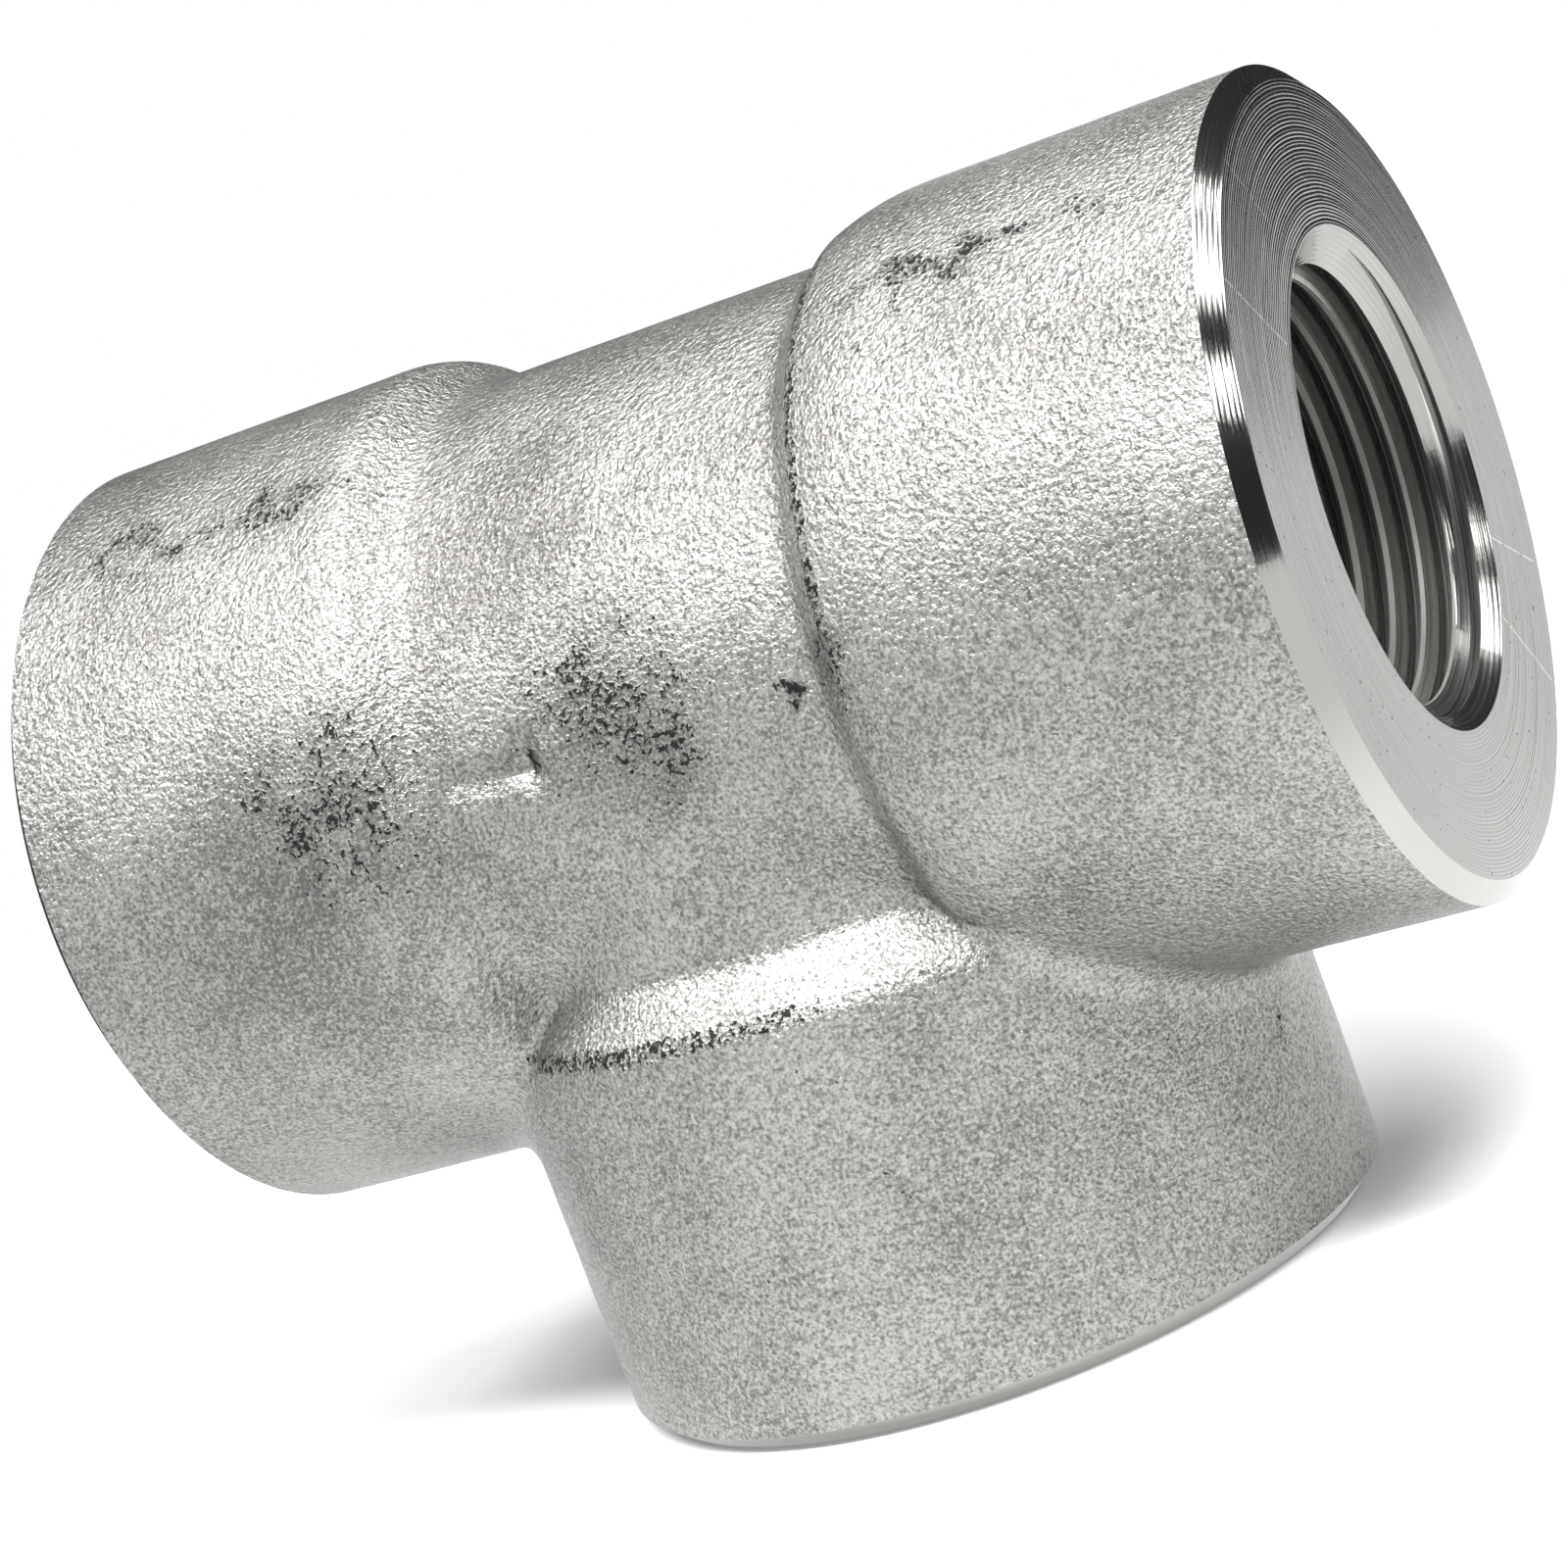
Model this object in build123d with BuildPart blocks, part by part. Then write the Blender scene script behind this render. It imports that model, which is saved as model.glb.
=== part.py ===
from build123d import *
from math import radians, sin, tan
import os

# Threaded tee, three quarter inch, class 3000: a one-piece forging, turned and tapped at its three ends.
# The run lies along X and the branch points down. The origin is the centre of the branch's end face.

# Ends: from the crossing of the axes to each machined face, and the bands that carry the threads
centre_to_end = 38.0
band_diameter = 46.0
run_band_length = 23.0
branch_band_length = 23.3

# Forged body between the run's bands and the neck that drops from it, each by its step down from the bands
body_step = 2.3
neck_step = 2.6

# Shoulders that climb to the bands: long and round on the run, with crisp edges on the branch
shoulder_angle = 39.0
run_crown_radius = 6.5
branch_crown_radius = 0.8
shoulder_foot_radius = 2.0

# Most of a shoulder's slope that its crown and its foot may take up, on thinner or smaller fittings
crown_share = 0.7
foot_share = 0.2

# Inside corner where the branch leaves the run, which has to stay tighter than the shoulders' feet
crotch_radius = 1.7
crotch_share = 0.9

# Turned edge round each end face
edge_chamfer_length = 1.1
edge_chamfer_angle = 48.0

# Ports: countersunk lead-in, bore drilled for the taper tap, drill cone and waterway
lead_in_diameter = 27.6
lead_in_angle = 45.0
tap_bore_diameter = 23.8
tap_bore_depth = 17.0
drill_cone_angle = 59.0
waterway_diameter = 21.0

band_radius = band_diameter / 2
body_radius = band_radius - body_step
neck_radius = band_radius - neck_step
lead_in_radius = lead_in_diameter / 2
tap_bore_radius = tap_bore_diameter / 2
waterway_radius = waterway_diameter / 2
end_face_radius = band_radius - edge_chamfer_length * tan(radians(edge_chamfer_angle))
chamfer_start = centre_to_end - edge_chamfer_length
lead_in_start = centre_to_end - (lead_in_radius - tap_bore_radius) / tan(radians(lead_in_angle))
tap_bore_end = centre_to_end - tap_bore_depth
drill_cone_end = tap_bore_end - (tap_bore_radius - waterway_radius) / tan(radians(drill_cone_angle))

# Each arm: the way it points, its barrel's radius behind the band, its band's length and crown radius
crossing = Vector(0, 0, centre_to_end)
arms = [
    (Vector(1, 0, 0), body_radius, run_band_length, run_crown_radius),
    (Vector(-1, 0, 0), body_radius, run_band_length, run_crown_radius),
    (Vector(0, 0, -1), neck_radius, branch_band_length, branch_crown_radius),
]

os.makedirs("parts", exist_ok=True)

with BuildPart() as tee_body:
    # Forged outside: half a lengthwise section of each arm, turned about that arm's axis
    for direction, barrel_radius, band_length, crown_radius in arms:
        rise = band_radius - barrel_radius
        crown = centre_to_end - band_length
        foot = crown - rise / tan(radians(shoulder_angle))
        slope_radius = rise / sin(radians(shoulder_angle)) / tan(radians(shoulder_angle / 2))
        with BuildSketch(Plane(crossing, x_dir=direction, z_dir=(0, -1, 0))):
            with BuildLine():
                Polyline(
                    (0, 0),
                    (0, barrel_radius),
                    (foot, barrel_radius),
                    (crown, band_radius),
                    (chamfer_start, band_radius),
                    (centre_to_end, end_face_radius),
                    (centre_to_end, 0),
                    close=True,
                )
            make_face()
            fillet(vertices().group_by(Axis.X)[2], min(crown_radius, crown_share * slope_radius))
            fillet(vertices().group_by(Axis.X)[1], min(shoulder_foot_radius, foot_share * slope_radius))
        revolve(axis=Axis(crossing, direction))

    # The die's rounding along each inside corner between run and branch, which has to roll through the feet
    fillet(edges(Select.NEW), min(crotch_radius, crotch_share * shoulder_foot_radius))

    # Ports and waterway, cut along each arm's axis as the countersink and the drill leave them
    for direction in [arm[0] for arm in arms]:
        with BuildSketch(Plane(crossing, x_dir=direction, z_dir=(0, -1, 0))):
            with BuildLine():
                Polyline(
                    (0, 0),
                    (0, waterway_radius),
                    (drill_cone_end, waterway_radius),
                    (tap_bore_end, tap_bore_radius),
                    (lead_in_start, tap_bore_radius),
                    (centre_to_end, lead_in_radius),
                    (centre_to_end, 0),
                    close=True,
                )
            make_face()
        revolve(axis=Axis(crossing, direction), mode=Mode.SUBTRACT)

tee_body.part.label = "tee_body"
export_step(tee_body.part, "parts/tee_body.step")
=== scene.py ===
import math

import bmesh
import bpy
from mathutils import Matrix, Vector, noise


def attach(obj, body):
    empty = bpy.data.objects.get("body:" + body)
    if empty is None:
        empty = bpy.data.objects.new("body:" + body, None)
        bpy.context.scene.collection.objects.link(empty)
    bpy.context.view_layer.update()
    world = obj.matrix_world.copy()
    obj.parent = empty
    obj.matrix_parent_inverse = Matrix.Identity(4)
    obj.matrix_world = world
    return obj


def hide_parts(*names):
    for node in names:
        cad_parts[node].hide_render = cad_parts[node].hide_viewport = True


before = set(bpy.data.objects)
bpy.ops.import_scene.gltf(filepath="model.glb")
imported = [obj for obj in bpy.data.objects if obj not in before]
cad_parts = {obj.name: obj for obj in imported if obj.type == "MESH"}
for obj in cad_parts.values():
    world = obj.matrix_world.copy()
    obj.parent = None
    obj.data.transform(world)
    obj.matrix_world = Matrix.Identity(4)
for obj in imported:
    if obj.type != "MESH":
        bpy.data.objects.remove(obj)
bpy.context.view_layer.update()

# The tee's own sizes in millimetres. Its mesh is built in millimetres and scaled once, at the end.
tee = {
    "centreToEnd": 38.0,
    "bandRadius": 23.0,
    "faceRadius": 21.78,
    "chamferLength": 1.1,
    "mouthRadius": 13.8,
    "boreRadius": 11.9,
    "boreDepth": 17.0,
    "waterwayRadius": 10.5,
    "drillConeAngle": 59.0,
}

# Each arm as a place: its own axis runs along X, out of the crossing of the three axes
crossing = Matrix.Translation((0, 0, tee["centreToEnd"]))
arms = {
    "right": crossing,
    "left": crossing @ Matrix.Rotation(math.pi, 4, "Z"),
    "branch": crossing @ Matrix.Rotation(math.pi / 2, 4, "Y"),
}


# Shader maths: a socket that adds and multiplies as a number does
class Term:
    def __init__(self, tree, out=None):
        self.tree = tree
        self.out = out

    def node(self, kind, values=None, output=0, **settings):
        # Any node: its settings first, then the values or links of its sockets
        made = self.tree.nodes.new(kind)
        for key, value in settings.items():
            setattr(made, key, value)
        for key, value in (values or {}).items():
            if isinstance(value, Term):
                self.tree.links.new(value.out, made.inputs[key])
            else:
                made.inputs[key].default_value = value
        return Term(self.tree, made.outputs[output])

    def math(self, operation, *others):
        return self.node("ShaderNodeMath", dict(enumerate((self, *others))), operation=operation)

    def reflected(self, operation, other):
        # The same with the other value first
        return self.node("ShaderNodeMath", {0: other, 1: self}, operation=operation)

    def __add__(self, other):
        return self.math("ADD", other)

    def __radd__(self, other):
        return self.reflected("ADD", other)

    def __sub__(self, other):
        return self.math("SUBTRACT", other)

    def __rsub__(self, other):
        return self.reflected("SUBTRACT", other)

    def __mul__(self, other):
        return self.math("MULTIPLY", other)

    def __rmul__(self, other):
        return self.reflected("MULTIPLY", other)

    def __truediv__(self, other):
        return self.math("DIVIDE", other)

    def __rtruediv__(self, other):
        return self.reflected("DIVIDE", other)

    def __pow__(self, other):
        return self.math("POWER", other)

    def __rpow__(self, other):
        return self.reflected("POWER", other)

    def vector(self, operation, *others, output=0):
        # Vector maths, with output 1 where the result is a number
        values = dict(enumerate((self, *others)))
        return self.node("ShaderNodeVectorMath", values, output, operation=operation)

    def step(self, low, high, start=0.0, end=1.0):
        # Smooth change from start to end as this goes from low to high
        values = {"Value": self, "From Min": low, "From Max": high, "To Min": start, "To Max": end}
        return self.node("ShaderNodeMapRange", values, interpolation_type="SMOOTHSTEP")

    def noise(self, size, detail=2.0, roughness=0.5, output=0):
        # A pattern whose lumps are about this size in metres
        values = {"Vector": self, "Scale": 1 / size, "Detail": detail, "Roughness": roughness}
        return self.node("ShaderNodeTexNoise", values, output)

    def mix(self, low, high):
        # A colour between two others, by this as the share
        low, high = [side if isinstance(side, Term) else (*side, 1) for side in (low, high)]
        return self.node("ShaderNodeMix", {0: self, 6: low, 7: high}, 2, data_type="RGBA")

    def parts(self):
        # The three coordinates of a place
        axes = self.node("ShaderNodeSeparateXYZ", {0: self}).out.node
        return [Term(self.tree, out) for out in axes.outputs]


def newMaterial(name, **constants):
    material = bpy.data.materials.new(name)
    material.use_nodes = True
    shader = material.node_tree.nodes["Principled BSDF"]
    for key, value in constants.items():
        shader.inputs[key.replace("_", " ")].default_value = value
    return material, shader, Term(material.node_tree).node("ShaderNodeTexCoord", output="Object")


def wire(shader, bump=None, distance=0.001, **sockets):
    # Links terms to the shader, with bump as a height in units of distance
    if bump:
        sockets["Normal"] = bump.node("ShaderNodeBump", {"Height": bump, "Distance": distance})
    for key, term in sockets.items():
        term.tree.links.new(term.out, shader.inputs[key.replace("_", " ")])


# Forged skin: grey shot-blasted steel, leathery where the die pressed it, with dark pits in a few
# patches. Sizes are in metres, the two depths in millimetres.
skin = {
    "light": (0.468, 0.46, 0.444), "dark": (0.14, 0.137, 0.132), "pit": (0.02, 0.019, 0.018),
    "roughness": 0.3, "pitRoughness": 0.3,
    "lumpSize": 0.00036, "lumpDepth": 0.18, "upperDepth": 0.13, "upperFrom": 0.040, "upperTo": 0.054,
    "speckSize": 0.00036, "fineSize": 0.0002, "patchSize": 0.007,
    "clumpSize": 0.0021, "clumpFrom": 0.36, "clumpTo": 0.60, "clumpLeast": 0.6, "clumpedReach": 0.005,
    "driftSize": 1 / 280, "drift": 0.008, "pitCore": 0.15, "paintedShadeCore": 0.2,
    "lumpShare": 0.4, "fineShare": 0.6, "patchShare": 0.22, "pitShade": 0.08, "darkAt": 0.29, "lightAt": 0.69,
    "pitGain": 0.28, "patchGain": 0.06, "pitFrom": 0.70, "pitTo": 0.78,
}
# Patches of pits: where, how far they reach, how thickly they lie, and how much longer they run along X
pits = {
    "leftBand": ((-0.0166, -0.0228, 0.0413), 0.0092, 0.71, 1.15),
    "body": ((0.0010, -0.0204, 0.0413), 0.0085, 0.75, 1.1),
    "spot": ((0.0098, -0.0207, 0.0392), 0.0016, 1.2, 1.4),
    "foot": ((0.0108, -0.0201, 0.0425), 0.0020, 0.85, 1.0),
    "shoulder": ((0.0138, -0.0217, 0.0408), 0.0022, 0.7, 1.0),
    "flashLeft": ((-0.0240, -0.0131, 0.0569), 0.0022, 0.79, 8.0),
    "flashRight": ((0.0240, -0.0126, 0.0572), 0.0020, 0.8, 7.0),
    "crown": ((0.0170, -0.0160, 0.0545), 0.0012, 0.66, 1.0),
    "band": ((0.0259, -0.0228, 0.0408), 0.0018, 0.7, 1.0),
    "small": ((-0.0143, -0.0213, 0.0467), 0.0016, 0.68, 1.0),
    "low": ((0.0070, -0.0218, 0.0128), 0.0016, 0.66, 1.0),
    "nick": ((-0.0058, -0.0206, 0.0402), 0.0012, 1.0, 1.0),
    "scar": ((0.0225, -0.0042, 0.0108), 0.0016, 0.8, 1.0),
}
# Painted shade: broad darker patches that dim the highlight on the body's top and shade the left band's lower
# side; where, how far they reach, how much darker
paintedShades = {
    "bodyTop": ((-0.0055, -0.0160, 0.0515), 0.0100, 0.10),
    "leftBandLow": ((-0.0215, -0.0222, 0.0330), 0.0110, 0.07),
}
# Rows of grit along two edges: the right shoulder's wall at an X, upwards from a height, and the
# branch's shoulder at a height, on both sides of an X. Both lie on the front and are faint behind.
grit = {
    "wallX": 0.0137, "wallWidth": 0.0007, "wallThick": 0.7, "wallFrom": 0.036, "wallTo": 0.040,
    "edgeZ": 0.0235, "edgeWidth": 0.0009, "edgeThick": 0.72,
    "edgeX": -0.004, "edgeFull": 0.008, "edgeEnd": 0.013,
    "core": 0.3, "frontY": -0.006, "backY": -0.002, "behind": 0.15,
}


def gritRow(away, width, thick):
    # Grit along a line, by the distance from it
    return away.math("ABSOLUTE").step(width * grit["core"], width, thick, 0.0)


def forgedSkin():
    material, shader, place = newMaterial("forged_skin", Metallic=0.85)
    x, y, z = place.parts()
    lumps = place.noise(skin["lumpSize"], detail=3, roughness=0.6)
    specks = place.noise(skin["speckSize"], detail=3, roughness=0.7)
    patches = place.noise(skin["patchSize"])
    fine = place.noise(skin["fineSize"], detail=1)
    clumps = place.noise(skin["clumpSize"]).step(skin["clumpFrom"], skin["clumpTo"], skin["clumpLeast"])

    # The patches' outlines wander, and the larger ones break up into clumps
    drift = place.noise(skin["driftSize"], output=1).vector("SUBTRACT", (0.5, 0.5, 0.5))
    drift = drift.node("ShaderNodeVectorMath", {0: drift, "Scale": skin["drift"]}, operation="SCALE")
    drifted = place.vector("ADD", drift)
    pitted = None
    for centre, reach, thick, longer in pits.values():
        away = drifted.vector("SUBTRACT", centre).vector("MULTIPLY", (1 / longer, 1, 1))
        if reach > skin["clumpedReach"]:
            thick = clumps * thick
        patch = away.vector("LENGTH", output=1).step(reach * skin["pitCore"], reach, thick, 0.0)
        pitted = pitted.math("MAXIMUM", patch) if pitted else patch
    pitToneAndPaintedShade = pitted * skin["pitShade"]
    # Painted shade patches darken the tone on top of the pits' darker ground
    for centre, reach, darker in paintedShades.values():
        away = drifted.vector("DISTANCE", centre, output=1)
        pitToneAndPaintedShade = pitToneAndPaintedShade + away.step(reach * skin["paintedShadeCore"], reach, darker, 0.0)

    front = y.step(grit["frontY"], grit["backY"], 1.0, grit["behind"])
    wall = gritRow(x - grit["wallX"], grit["wallWidth"], grit["wallThick"])
    edge = gritRow(z - grit["edgeZ"], grit["edgeWidth"], grit["edgeThick"])
    upper = z.step(grit["wallFrom"], grit["wallTo"])
    side = (x - grit["edgeX"]).math("ABSOLUTE").step(grit["edgeFull"], grit["edgeEnd"], 1.0, 0.0)
    pitted = pitted.math("MAXIMUM", wall * upper * front).math("MAXIMUM", edge * side * front)

    pitMask = specks + pitted * skin["pitGain"] + patches * skin["patchGain"]
    pitMask = pitMask.step(skin["pitFrom"], skin["pitTo"])
    tone = lumps * skin["lumpShare"] + fine * skin["fineShare"] + (patches - 0.5) * skin["patchShare"] - pitToneAndPaintedShade
    clean = tone.step(skin["darkAt"], skin["lightAt"]).mix(skin["dark"], skin["light"])
    depth = z.step(skin["upperFrom"], skin["upperTo"]) * skin["upperDepth"] + skin["lumpDepth"]
    wire(
        shader, bump=lumps * depth,
        Base_Color=pitMask.mix(clean, skin["pit"]),
        Roughness=pitMask * skin["pitRoughness"] + skin["roughness"],
    )
    return material


# Cut steel: fine rings left by the tool, which run round each arm's own axis
cutSteel = {
    "color": (0.45, 0.443, 0.43), "ringPitch": 0.00021, "ringDepth": 0.000012, "ringShare": 0.5,
    "wobble": 0.0001, "wobbleSize": 0.0033, "chatterScale": 5200.0, "chatterShare": 1.6,
    "chatterFrom": 0.3, "chatterTo": 0.7, "smoothest": 0.8, "roughest": 1.3, "branchTop": 0.012,
}
# Each cut surface: roughness, its share of the rings' depth, and its brightness against the colour. The
# thread's and the bore's higher brightness, which also lights the thread's crest flats, is painted light; the
# root's lower one is painted shade
finishes = {
    "turned": ("turned_steel", 0.2, 1.0, 1.0),
    "sink": ("countersink_steel", 0.16, 0.5, 1.2),
    "thread": ("thread_steel_painted_light", 0.2, 0.06, 2.0),
    "bore": ("bore_steel_painted_light", 0.4, 0.1, 2.1),
    "edge": ("chamfer_steel", 0.1, 0.3, 1.15),
    "root": ("root_steel_painted_shade", 0.3, 0.06, 0.6),
}
# Scratches across the right end face: start, end and half width
scratches = {
    "short": ((0.038, -0.0105, 0.0575), (0.038, -0.0069, 0.0534), 0.00007),
    "tick": ((0.038, 0.0, 0.0549), (0.038, 0.0017, 0.0541), 0.00005),
    "long": ((0.038, -0.0165, 0.0522), (0.038, -0.0107, 0.0476), 0.00006),
    "low": ((0.038, 0.0090, 0.0280), (0.038, 0.0144, 0.0224), 0.00006),
    "side": ((0.038, 0.0119, 0.0317), (0.038, 0.0186, 0.0285), 0.00006),
}
faceMarks = {
    "core": 0.5, "spread": 1.3, "light": 0.6, "gapSize": 0.0004, "gapFrom": 0.3, "gapTo": 0.5,
    "dotSize": 0.00035, "dotFrom": 0.74, "dotTo": 0.78, "dotDark": 0.5,
}


def ringed(place):
    # Distance from the axis of the arm that this point belongs to
    x, y, z = place.parts()
    up = z - tee["centreToEnd"] / 1000
    run = (y * y + up * up) ** 0.5
    branch = (x * x + y * y) ** 0.5
    onRun = z.math("GREATER_THAN", cutSteel["branchTop"])
    return run * onRun + branch * (1.0 - onRun)


def cutMaterial(name, roughness, ringShare, tintAndPaintedLight):
    material, shader, place = newMaterial(name, Metallic=1.0)
    radius = ringed(place)
    wobble = place.noise(cutSteel["wobbleSize"]) * cutSteel["wobble"]
    turns = (radius + wobble) / cutSteel["ringPitch"]
    rings = (turns * (2 * math.pi)).math("SINE") * cutSteel["ringShare"]
    values = {"W": radius, "Scale": cutSteel["chatterScale"], "Detail": 2.0}
    chatter = radius.node("ShaderNodeTexNoise", values, noise_dimensions="1D")
    limits = roughness * cutSteel["smoothest"], roughness * cutSteel["roughest"]
    # Brightness against the colour: raised as painted light for the thread and bore, lowered as painted shade
    # for the root
    shader.inputs["Base Color"].default_value = (*(tintAndPaintedLight * part for part in cutSteel["color"]), 1)
    wire(
        shader, bump=rings + chatter * cutSteel["chatterShare"], distance=cutSteel["ringDepth"] * ringShare,
        Roughness=chatter.step(cutSteel["chatterFrom"], cutSteel["chatterTo"], *limits),
    )
    return material


def scratch(material):
    # Pale scratches with gaps in them, and small dark dots, over the turned faces' colour
    place = Term(material.node_tree).node("ShaderNodeTexCoord", output="Object")
    marked = None
    for start, end, width in scratches.values():
        run = Vector(end) - Vector(start)
        away = place.vector("SUBTRACT", start)
        along = away.vector("DOT_PRODUCT", tuple(run / run.length_squared), output=1)
        along = along.math("MINIMUM", 1.0).math("MAXIMUM", 0.0)
        nearest = along.node("ShaderNodeVectorMath", {0: tuple(run), "Scale": along}, operation="SCALE")
        away = away.vector("DISTANCE", nearest, output=1)
        line = away.step(width * faceMarks["core"], width * faceMarks["spread"], 1.0, 0.0)
        marked = marked.math("MAXIMUM", line) if marked else line
    dots = place.noise(faceMarks["dotSize"], detail=1).step(faceMarks["dotFrom"], faceMarks["dotTo"])
    gaps = place.noise(faceMarks["gapSize"], detail=1).step(faceMarks["gapFrom"], faceMarks["gapTo"])
    share = marked * faceMarks["light"] * gaps - dots * faceMarks["dotDark"] + 0.5
    color = share.mix((0.0, 0.0, 0.0), tuple(2 * part for part in cutSteel["color"]))
    wire(material.node_tree.nodes["Principled BSDF"], Base_Color=color)


materials = {"skin": forgedSkin()}
for slot, finish in finishes.items():
    materials[slot] = cutMaterial(*finish)
scratch(materials["turned"])
slots = {slot: index for index, slot in enumerate(materials)}
print("materials", len(materials))


def meshOf(bm, name):
    mesh = bpy.data.meshes.new(name)
    bm.to_mesh(mesh)
    bm.free()
    piece = bpy.data.objects.new(name, mesh)
    bpy.context.scene.collection.objects.link(piece)
    for material in materials.values():
        mesh.materials.append(material)
    return piece


def turned(profile, steps):
    # A closed solid spun about X from its (along, radius) outline
    bm = bmesh.new()
    points = [bm.verts.new((along, 0, radius)) for along, radius in profile]
    lines = [bm.edges.new(pair) for pair in zip(points, points[1:])]
    bmesh.ops.spin(
        bm, geom=points + lines, axis=(1, 0, 0), cent=(0, 0, 0),
        angle=2 * math.pi, steps=steps, use_merge=True)
    bmesh.ops.remove_doubles(bm, verts=bm.verts, dist=1e-4)
    bmesh.ops.recalc_face_normals(bm, faces=bm.faces)
    return bm


def applied(piece):
    # The piece's mesh with its modifiers worked in
    graph = bpy.context.evaluated_depsgraph_get()
    mesh = bpy.data.meshes.new_from_object(piece.evaluated_get(graph))
    piece.modifiers.clear()
    old = piece.data
    piece.data = mesh
    bpy.data.meshes.remove(old)


def cutArms(piece, bm, name):
    # Cuts the same tool into the piece on all three arms
    for arm, place in arms.items():
        copy = bm.copy()
        bmesh.ops.transform(copy, matrix=place, verts=copy.verts)
        cutter = meshOf(copy, f"{name}_{arm}")
        step = piece.modifiers.new("cut", "BOOLEAN")
        step.operation = "DIFFERENCE"
        step.solver = "MANIFOLD"
        step.object = cutter
        applied(piece)
        bpy.data.objects.remove(cutter)
    bm.free()


# Forged blank: three barrels with thick ends, drawn together into one skin, pulled onto the forging's
# shape and then worn as the die and the shot leave it
blank = {
    "steps": 144, "rings": 160, "voxel": 0.56, "overlength": 1.0,
    "fineFrom": 10.8, "fineTo": 15.2, "stretch": 2.2,
    "passes": 3, "pull": 0.9, "pullPast": 0.4,
}
# Each arm's barrel and the shoulder that climbs to its band: a short steep wall, then a long crown
shoulders = {
    "right": {
        "radius": 20.7, "wallStart": 11.85, "wallSlope": 0.85, "crownEnd": 18.6, "crownFall": 0.034,
        "foot": 0.4, "edge": 0.08,
    },
    "left": {
        "radius": 20.7, "wallStart": 12.0, "wallSlope": 0.88, "crownEnd": 16.2, "crownFall": 0.11,
        "foot": 0.8, "edge": 0.3,
    },
    "branch": {
        "radius": 20.4, "wallStart": 11.5, "wallSlope": 0.81, "crownEnd": 14.7, "crownFall": 0.0,
        "foot": 0.4, "edge": 0.8,
    },
}
# Inside corner of run and branch: how wide it is rounded, which fades out where the two lie flush
crotch = {"width": 2.1, "least": 0.15, "gain": 1.4, "below": 2.0}
wear = {
    "sink": 0.03, "waves": 0.05, "waveSize": 9.0, "dimples": 0.035, "dimpleSize": 1.6,
    "dimpleShift": (31, 0, 0), "least": 0.01,
}
# Hammer marks: start, end, half width and depth, each with a low raised rim
nicks = {
    "stroke": ((-10.4, -20.7, 39.9), (-6.3, -20.6, 39.6), 0.7, 0.4),
    "dent": ((-6.0, -20.6, 41.0), (-5.6, -20.6, 39.2), 0.75, 0.5),
    "cut": ((25.9, -22.9, 41.8), (26.0, -23.0, 40.2), 0.5, 0.12),
}
rim = {"height": 0.25, "at": 1.7, "sharpness": 4}

faceAlong = tee["centreToEnd"]
plugEnd = faceAlong + blank["overlength"]


def lesser(a, b, width):
    # The smaller of two numbers, rounded off where they are within width of each other
    near = max(width - abs(a - b), 0)
    return min(a, b) - near * near / (4 * width)


def barrel(along, arm):
    # Radius of an arm's forged outside at a distance from the crossing
    shape = shoulders[arm]
    wall = shape["radius"] + (along - shape["wallStart"]) * shape["wallSlope"]
    crown = tee["bandRadius"] - shape["crownFall"] * max(0, shape["crownEnd"] - along) ** 2
    return -lesser(-lesser(wall, crown, shape["edge"]), -shape["radius"], shape["foot"])


def outside(at):
    # How far a point lies outside the forging, with the inside corner of run and branch filled
    x, y, z = at.x, at.y, at.z - faceAlong
    onRun = Vector((0, y, z))
    onBranch = Vector((x, y, 0))
    run = onRun.length - barrel(abs(x), "right" if x > 0 else "left")
    if z > crotch["below"]:
        return run
    branch = onBranch.length - barrel(-z, "branch")
    square = 1 - max(0, onRun.normalized().dot(onBranch.normalized()))
    width = crotch["width"] * min(1, crotch["gain"] * square)
    return lesser(run, branch, max(crotch["least"], width))


def nicked(at):
    # Depth of the hammer marks at a point
    depth = 0
    for start, end, width, deep in nicks.values():
        start, end = Vector(start), Vector(end)
        along = end - start
        share = min(1, max(0, (at - start).dot(along) / along.length_squared))
        away = (at - start - along * share).length / width
        raised = rim["height"] * math.exp(-((away - rim["at"]) ** 2) * rim["sharpness"])
        depth += deep * (math.exp(-away * away) - raised)
    return depth


def stretched(along, back=False):
    # Draws the shoulders' part of an arm out, so that the remesh leaves it finer, or sets it back
    low, high, times = blank["fineFrom"], blank["fineTo"], blank["stretch"]
    if back:
        high, times = low + (high - low) * times, 1 / times
    size = abs(along)
    moved = size + (min(high, max(low, size)) - low) * (times - 1)
    return math.copysign(moved, along)


def stretch(mesh, back=False):
    for vert in mesh.vertices:
        up = vert.co.z - faceAlong
        vert.co.x = stretched(vert.co.x, back)
        vert.co.z = faceAlong + (stretched(up, back) if up < 0 else up)


stations = [ring * plugEnd / blank["rings"] for ring in range(blank["rings"])]
together = bmesh.new()
for arm, place in arms.items():
    outline = [(0, 0)]
    outline += [(along, barrel(along, arm)) for along in stations]
    outline += [(plugEnd, tee["bandRadius"]), (plugEnd, 0)]
    bm = turned(outline, blank["steps"])
    bmesh.ops.transform(bm, matrix=place, verts=bm.verts)
    carrier = bpy.data.meshes.new("arm")
    bm.to_mesh(carrier)
    bm.free()
    together.from_mesh(carrier)
    bpy.data.meshes.remove(carrier)
body = meshOf(together, "threaded_tee")
stretch(body.data)
step = body.modifiers.new("skin", "REMESH")
step.mode = "VOXEL"
step.voxel_size = blank["voxel"]
applied(body)
stretch(body.data, back=True)

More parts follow.
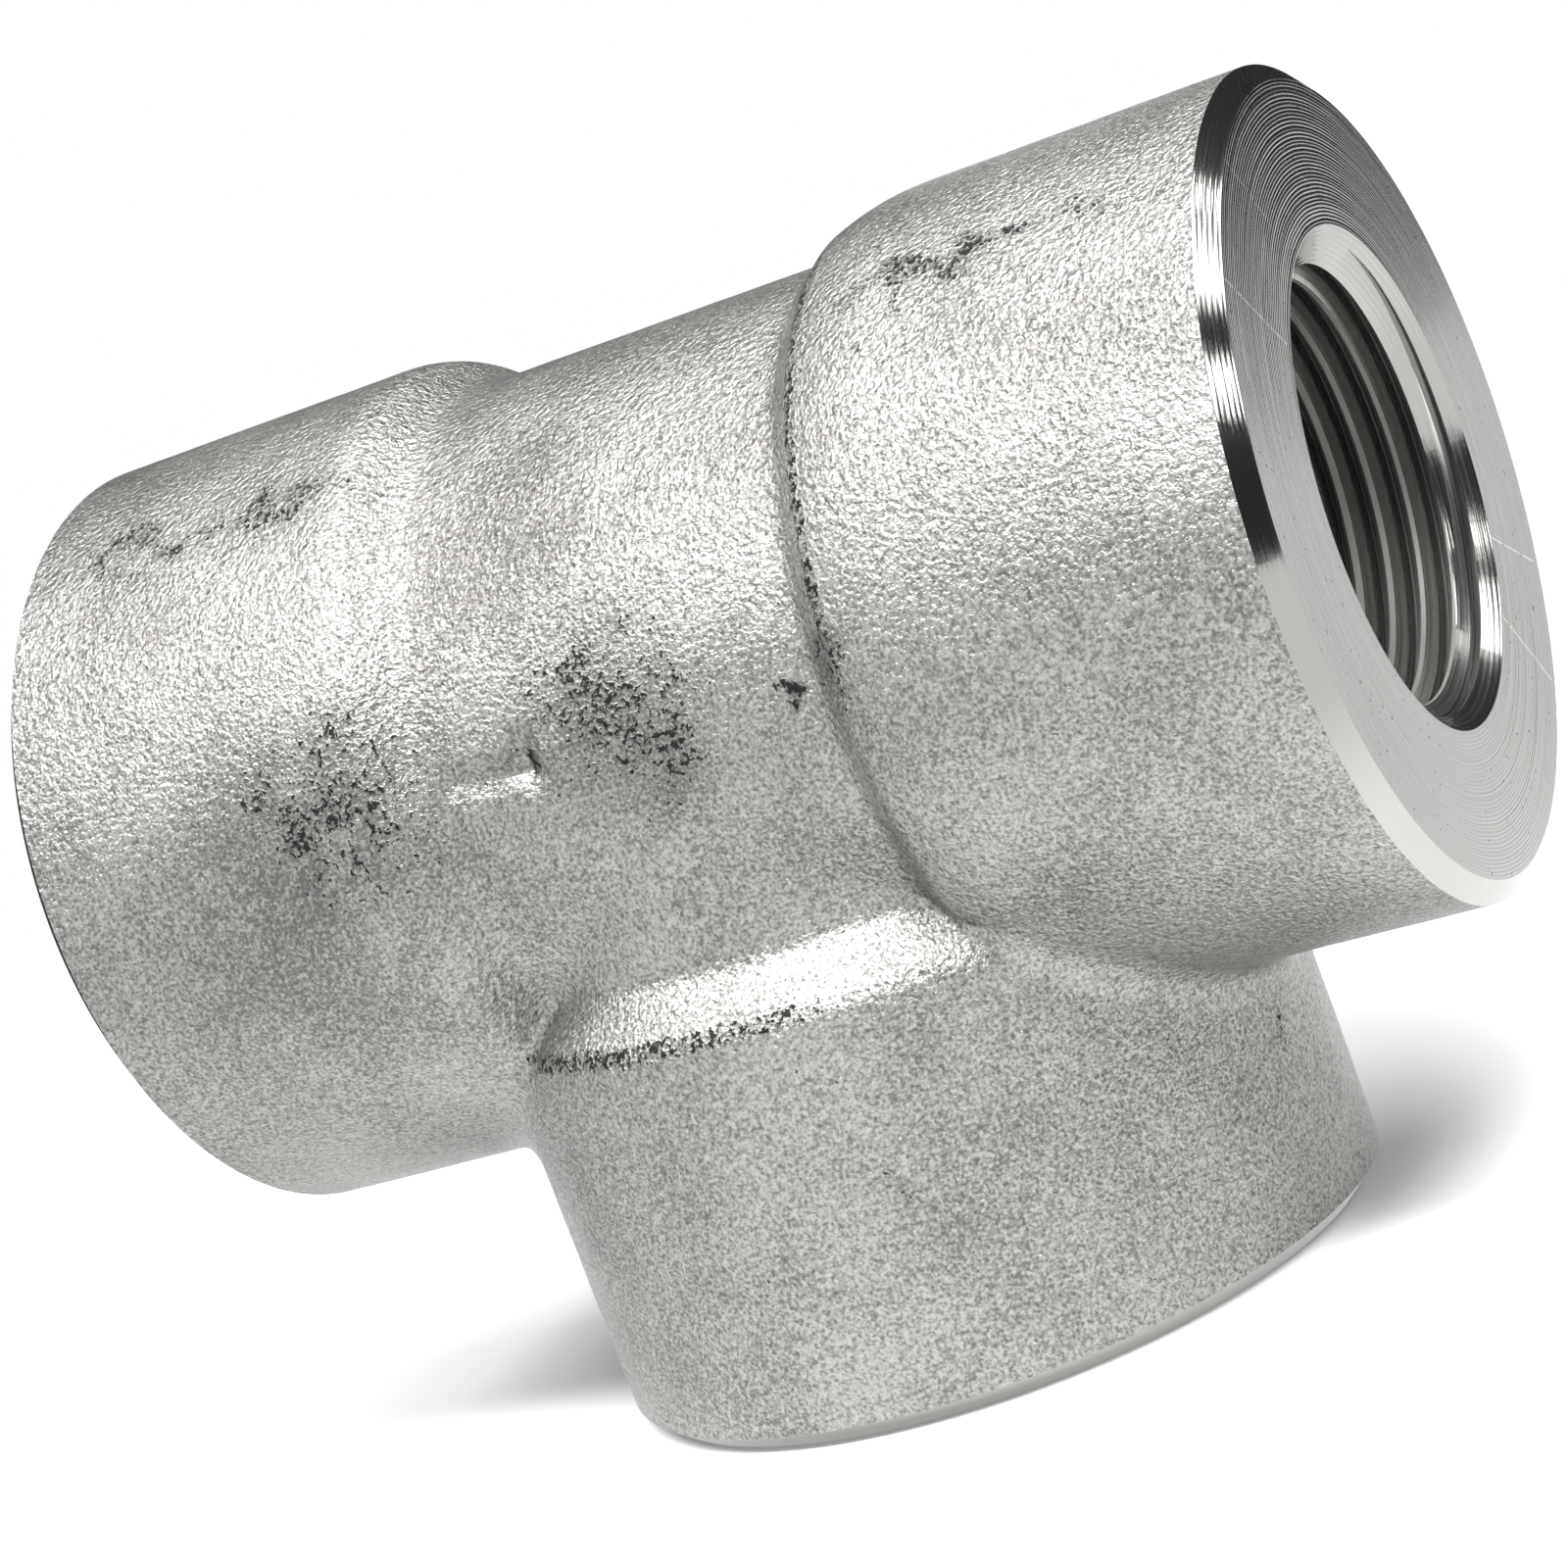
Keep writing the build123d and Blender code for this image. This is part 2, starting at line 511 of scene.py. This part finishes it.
bm = bmesh.new()
bm.from_mesh(body.data)
past = blank["pullPast"]
for turn in range(blank["passes"]):
    bm.normal_update()
    for vert in bm.verts:
        if abs(vert.co.x) < faceAlong + past and vert.co.z > -past:
            vert.co -= vert.normal * outside(vert.co) * blank["pull"]
bm.normal_update()
for vert in bm.verts:
    at = vert.co
    wave = 0.5 + 0.5 * noise.noise(at / wear["waveSize"])
    dimple = 0.5 + 0.5 * noise.noise(at / wear["dimpleSize"] + Vector(wear["dimpleShift"]))
    depth = wear["sink"] + wear["waves"] * wave + wear["dimples"] * dimple + nicked(at)
    vert.co = at - vert.normal * max(wear["least"], depth)
for face in bm.faces:
    face.material_index = slots["skin"]
bm.to_mesh(body.data)
bm.free()
print("blank", len(body.data.polygons), "faces")

# Turned ends: the facing and chamfering cuts
facing = {"steps": 240, "outer": 25.5, "past": 2.0, "flat": 0.9}
slope = (tee["bandRadius"] - tee["faceRadius"]) / tee["chamferLength"]
outerAlong = faceAlong - (facing["outer"] - tee["faceRadius"]) / slope
facingEnd = plugEnd + facing["past"]
bm = turned([
    (faceAlong, 0), (faceAlong, tee["faceRadius"]),
    (outerAlong, facing["outer"]), (facingEnd, facing["outer"]), (facingEnd, 0),
], facing["steps"])
for face in bm.faces:
    face.material_index = slots["turned"] if abs(face.normal.x) > facing["flat"] else slots["edge"]
cutArms(body, bm, "facing")

# Ports: countersink, bore, drill cone and waterway
port = {"steps": 180, "past": 2.0}
sinkEnd = faceAlong - (tee["mouthRadius"] - tee["boreRadius"])
boreEnd = faceAlong - tee["boreDepth"]
coneEnd = boreEnd - (tee["boreRadius"] - tee["waterwayRadius"]) / math.tan(math.radians(tee["drillConeAngle"]))
portEnd = faceAlong + port["past"]
bm = turned([
    (0, 0), (0, tee["waterwayRadius"]), (coneEnd, tee["waterwayRadius"]), (boreEnd, tee["boreRadius"]),
    (sinkEnd, tee["boreRadius"]), (portEnd, tee["mouthRadius"] + port["past"]), (portEnd, 0),
], port["steps"])
for face in bm.faces:
    face.material_index = slots["sink"] if face.calc_center_median().x > sinkEnd else slots["bore"]
cutArms(body, bm, "port")
print("ends and ports cut")

# Taper pipe thread, right-hand: one turn's groove outline spun along the axis. It starts over a turn
# outside the face, and its last turns fade out under the bore's wall.
thread = {
    "pitch": 1.8143, "rootRadius": 13.28, "rootFlat": 0.08, "halfAngle": 30.0, "taper": 1 / 32,
    "steps": 96, "turnsBefore": 1.3, "length": 14.5, "fade": 3.6, "fadeUnder": 0.9,
    "shaded": 0.5, "tip": 0.5,
}

pitch, steps = thread["pitch"], thread["steps"]
flank = math.tan(math.radians(thread["halfAngle"]))
crestRadius = thread["rootRadius"] - (pitch - thread["rootFlat"]) / 2 / flank
startAlong = faceAlong + thread["turnsBefore"] * pitch
threadEnd = thread["length"] + thread["fade"]
turns = math.ceil((threadEnd + thread["turnsBefore"] * pitch) / pitch)
middle = startAlong - pitch / 2
rootStart, rootEnd = middle + thread["rootFlat"] / 2, middle - thread["rootFlat"] / 2
shadeRadius = thread["rootRadius"] - thread["shaded"]
shadeAlong = rootEnd - thread["shaded"] * flank
# The flank that looks away from the mouth and the root take a darker copy of the steel as painted shade, the
# flank that looks at the mouth a brighter one as painted light
rows = {
    "root": [
        (startAlong, crestRadius), (rootStart, thread["rootRadius"]),
        (rootEnd, thread["rootRadius"]), (shadeAlong, shadeRadius),
    ],
    "thread": [(shadeAlong, shadeRadius), (startAlong - pitch, crestRadius)],
}
bm = bmesh.new()
for slot, outline in rows.items():
    known = set(bm.faces)
    points = [bm.verts.new((along, 0, radius)) for along, radius in outline]
    lines = [bm.edges.new(pair) for pair in zip(points, points[1:])]
    bmesh.ops.spin(
        bm, geom=points + lines, axis=(1, 0, 0), cent=(0, 0, 0),
        dvec=(-pitch / steps, 0, 0), angle=-2 * math.pi * turns, steps=steps * turns)
    for face in bm.faces:
        if face not in known:
            face.material_index = slots[slot]
bmesh.ops.remove_doubles(bm, verts=bm.verts, dist=1e-3)
inner = tee["boreRadius"] - thread["fadeUnder"]
for vert in bm.verts:
    depth = faceAlong - vert.co.x
    radius = math.hypot(vert.co.y, vert.co.z)
    left = min(1, max(0, (threadEnd - depth) / thread["fade"]))
    wanted = inner + (radius - thread["taper"] * depth - inner) * left
    vert.co.y *= wanted / radius
    vert.co.z *= wanted / radius
rims = [edge for edge in bm.edges if edge.is_boundary]
for end, along in ((1, startAlong + thread["tip"]), (-1, startAlong - turns * pitch - pitch)):
    loop = [edge for edge in rims if (edge.verts[0].co.x - (startAlong - turns * pitch / 2)) * end > 0]
    made = bmesh.ops.extrude_edge_only(bm, edges=loop)["geom"]
    tips = [item for item in made if isinstance(item, bmesh.types.BMVert)]
    bmesh.ops.pointmerge(bm, verts=tips, merge_co=(along, 0, 0))
bmesh.ops.recalc_face_normals(bm, faces=bm.faces)
print("thread cutter open edges", sum(edge.is_boundary for edge in bm.edges), "faces", len(bm.faces))
cutArms(body, bm, "tap")

# Into metres, and smooth but for the crisp edges
crispAngle = math.radians(28)
bm = bmesh.new()
bm.from_mesh(body.data)
bmesh.ops.transform(bm, matrix=Matrix.Scale(0.001, 4), verts=bm.verts)
for face in bm.faces:
    face.smooth = True
for edge in bm.edges:
    edge.smooth = edge.is_boundary or edge.calc_face_angle(0) < crispAngle
triangles = sum(len(face.verts) - 2 for face in bm.faces)
print("open edges", sum(edge.is_boundary for edge in bm.edges), "triangles", triangles)
bm.to_mesh(body.data)
bm.free()

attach(body, "root")
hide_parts("tee_body")

# Floor and backdrop: white to the camera and in reflections, with the object's shadow kept. The floor
# turns plain white between the first and second distance from the tee, nearer for reflections.
studio = {
    "ambient": 0.35, "floorSize": 4, "floorGrey": 0.88, "cardGrey": 0.01,
    "cameraFade": (0.06, 0.30), "mirrorFade": (0.03, 0.11), "mirrorLeast": 0.45,
}


def seenBy(tree, camera=1.0, mirror=1.0):
    # How far a ray sees plain white: a camera ray by one share, reflected and refracted ones by another
    path = Term(tree).node("ShaderNodeLightPath").out.node
    shares = {"Is Camera Ray": camera, "Is Glossy Ray": mirror, "Is Transmission Ray": mirror}
    seen = [Term(tree, path.outputs[ray]) * share for ray, share in shares.items()]
    return seen[0].math("MAXIMUM", seen[1]).math("MAXIMUM", seen[2])


bpy.ops.mesh.primitive_plane_add(size=studio["floorSize"])
floor = bpy.context.object
floor.name = "floor"
floorMaterial, shader, place = newMaterial("floor_white", Roughness=0.9)
shader.inputs["Base Color"].default_value = (*[studio["floorGrey"]] * 3, 1)
away = place.vector("LENGTH", output=1)
mirror = away.step(*studio["mirrorFade"], studio["mirrorLeast"], 1.0)
tree = floorMaterial.node_tree
share = seenBy(tree, away.step(*studio["cameraFade"]), mirror)
glow = share.node("ShaderNodeEmission")
lit = Term(tree, shader.outputs[0])
blend = share.node("ShaderNodeMixShader", {0: share, 1: lit, 2: glow})
tree.links.new(blend.out, tree.nodes["Material Output"].inputs["Surface"])
floor.data.materials.append(floorMaterial)

world = bpy.data.worlds.new("studio")
bpy.context.scene.world = world
world.use_nodes = True
tree = world.node_tree
back = tree.nodes["Background"]
back.inputs["Color"].default_value = (1, 1, 1, 1)
strength = seenBy(tree) * (1 - studio["ambient"]) + studio["ambient"]
tree.links.new(strength.out, back.inputs["Strength"])

# Soft lamps: azimuth from +X towards +Y and elevation, as seen from the tee, distance, size and power
lamps = {
    "ceiling": ((-98, 62), 0.55, (1.15, 0.10), 7.0),
    "right_high": ((-6, 61), 0.56, (0.58, 0.3), 4.8),
    "side_low": ((-5, 20.6), 0.435, (0.056, 0.063), 0.05),
    "side_high": ((19.5, 34), 0.426, (0.2, 0.06), 0.16),
}
# Black cards just outside the view, which only reflections see: the same, without power
cards = {
    "card_back": ((74, 27), 0.45, (0.55, 0.56)),
    "card_right": ((0, 20), 0.47, (0.62, 0.44)),
    "card_left": ((150, 12), 0.16, (0.27, 0.22)),
}
aim = Vector((0, 0, tee["centreToEnd"] / 1000))


def placed(name, data, direction, distance):
    # An object that looks at the middle of the tee from that direction
    turn, lift = (math.radians(angle) for angle in direction)
    out = Vector((math.cos(turn) * math.cos(lift), math.sin(turn) * math.cos(lift), math.sin(lift)))
    holder = bpy.data.objects.new(name, data)
    bpy.context.scene.collection.objects.link(holder)
    holder.location = out * distance + aim
    holder.rotation_euler = (aim - holder.location).to_track_quat("-Z", "Y").to_euler()
    return holder


for name, (direction, distance, size, power) in lamps.items():
    lamp = bpy.data.lights.new(name, "AREA")
    lamp.shape = "RECTANGLE"
    lamp.size, lamp.size_y = size
    lamp.energy = power
    placed(name, lamp, direction, distance)

cardMaterial, shader, place = newMaterial("card_black", Roughness=1.0)
shader.inputs["Base Color"].default_value = (*[studio["cardGrey"]] * 3, 1)
for name, (direction, distance, size) in cards.items():
    bm = bmesh.new()
    bmesh.ops.create_grid(bm, x_segments=1, y_segments=1, size=0.5)
    mesh = bpy.data.meshes.new(name)
    bm.to_mesh(mesh)
    bm.free()
    mesh.materials.append(cardMaterial)
    card = placed(name, mesh, direction, distance)
    card.scale = (*size, 1)
    card.visible_camera = card.visible_diffuse = card.visible_shadow = False
print("stage set")

# The photograph's view
view = {
    "spot": (0.098702, -0.197676, 0.066272),
    "right": (0.857586, 0.377225, -0.349639),
    "up": (0.249055, 0.290211, 0.923985),
    "lens": 89.82,
    "sensor": 36,
    "nearest": 0.01,
}
eye = bpy.data.cameras.new("eye")
eye.lens = view["lens"]
eye.sensor_width = view["sensor"]
eye.clip_start = view["nearest"]
holder = bpy.data.objects.new("eye", eye)
bpy.context.scene.collection.objects.link(holder)
right, up = Vector(view["right"]), Vector(view["up"])
turn = Matrix((right, up, right.cross(up))).transposed().to_4x4()
holder.matrix_world = Matrix.Translation(view["spot"]) @ turn
bpy.context.scene.camera = holder
bpy.context.scene.view_settings.view_transform = "Standard"
